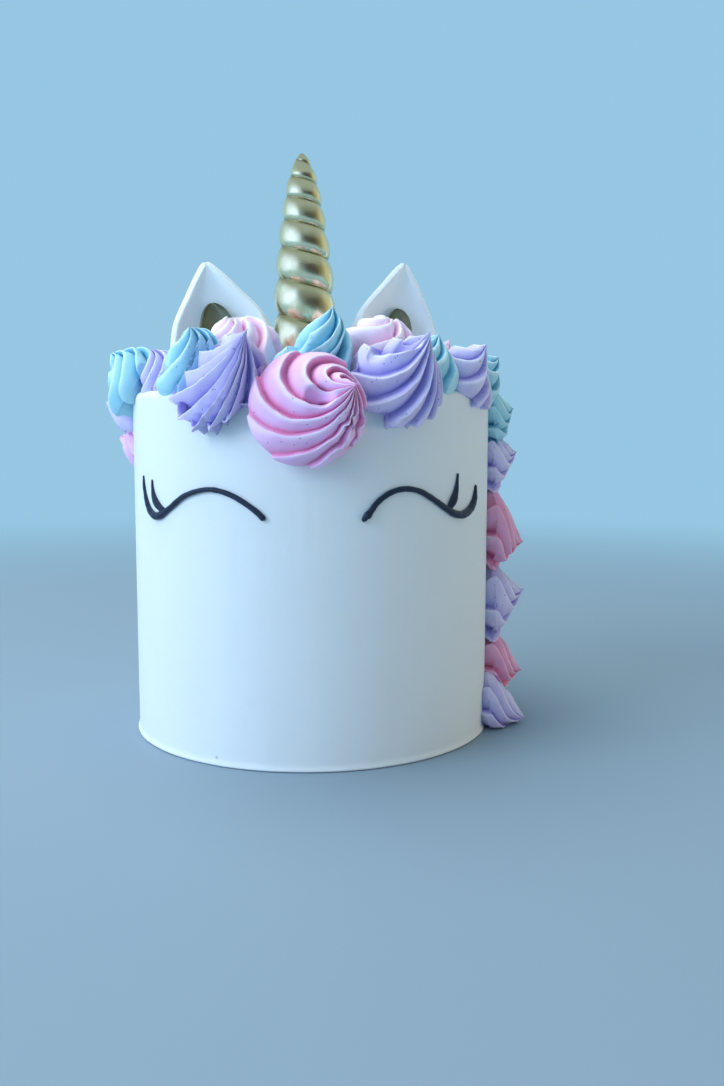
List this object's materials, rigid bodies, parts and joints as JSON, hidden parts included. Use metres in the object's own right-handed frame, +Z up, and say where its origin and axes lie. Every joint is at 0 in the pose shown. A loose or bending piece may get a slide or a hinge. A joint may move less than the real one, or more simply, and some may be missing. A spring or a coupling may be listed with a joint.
{
  "type": "layer cake",
  "caption": "Tall round iced layer cake dressed as a unicorn, with piped swirl wreath and mane, coiled gold horn, fondant ears and closed piped eyes.",
  "frame": {"origin": "centre of the cake's round base, on the surface it stands on", "axes": "+Z up along the cake's axis, the face looks along -Y, +X to the viewer's right"},
  "size_m": [0.1936, 0.1881, 0.2498],
  "materials": {
    "white_icing": "smooth scraped buttercream, soft satin",
    "pink_cream": "piped buttercream, soft satin, fine bubbles",
    "lilac_cream": "piped buttercream, soft satin, fine dark specks",
    "mint_cream": "piped buttercream, soft satin",
    "gold": "satin gold lustre",
    "white_fondant": "matt fondant",
    "black_icing": "piped line, slightly glossy"
  },
  "bodies": {
    "root": {"cake": "white_icing", "horn": "gold", "ear_left": "white_fondant", "ear_right": "white_fondant", "ear_leaf_left": "gold", "ear_leaf_right": "gold", "eye_left": "black_icing", "eye_right": "black_icing", "swirl_crown_1": "pink_cream", "swirl_crown_2": "mint_cream", "swirl_crown_3": "lilac_cream", "swirl_crown_4": "pink_cream", "swirl_end_1": "lilac_cream", "swirl_lilac_brow_left": "lilac_cream", "swirl_lilac_brow_right": "lilac_cream", "swirl_lilac_cheek": "lilac_cream", "swirl_lilac_left": "lilac_cream", "swirl_lilac_mane": "lilac_cream", "swirl_lilac_mane_foot": "lilac_cream", "swirl_lilac_mane_high": "lilac_cream", "swirl_lilac_right": "lilac_cream", "swirl_low_1": "pink_cream", "swirl_low_2": "mint_cream", "swirl_low_3": "lilac_cream", "swirl_mid_1": "lilac_cream", "swirl_mid_2": "pink_cream", "swirl_mid_3": "mint_cream", "swirl_mid_4": "lilac_cream", "swirl_mint_edge": "mint_cream", "swirl_mint_left": "mint_cream", "swirl_mint_mane": "mint_cream", "swirl_mint_right": "mint_cream", "swirl_mint_side": "mint_cream", "swirl_mint_top": "mint_cream", "swirl_nape_1": "mint_cream", "swirl_nape_2": "lilac_cream", "swirl_nape_3": "pink_cream", "swirl_nape_4": "mint_cream", "swirl_nape_5": "lilac_cream", "swirl_nape_6": "pink_cream", "swirl_pink_brow": "pink_cream", "swirl_pink_cheek": "pink_cream", "swirl_pink_mane": "pink_cream", "swirl_pink_mane_low": "pink_cream", "swirl_pink_top_left": "pink_cream", "swirl_pink_top_right": "pink_cream", "swirl_pink_top_side": "pink_cream", "swirl_rim_1": "lilac_cream", "swirl_rim_2": "pink_cream", "swirl_rim_3": "mint_cream", "swirl_rim_4": "lilac_cream", "swirl_rim_5": "pink_cream", "swirl_rim_6": "mint_cream", "swirl_rim_7": "lilac_cream", "swirl_tail_1": "mint_cream", "swirl_tail_2": "lilac_cream"}
  },
  "joints": []
}
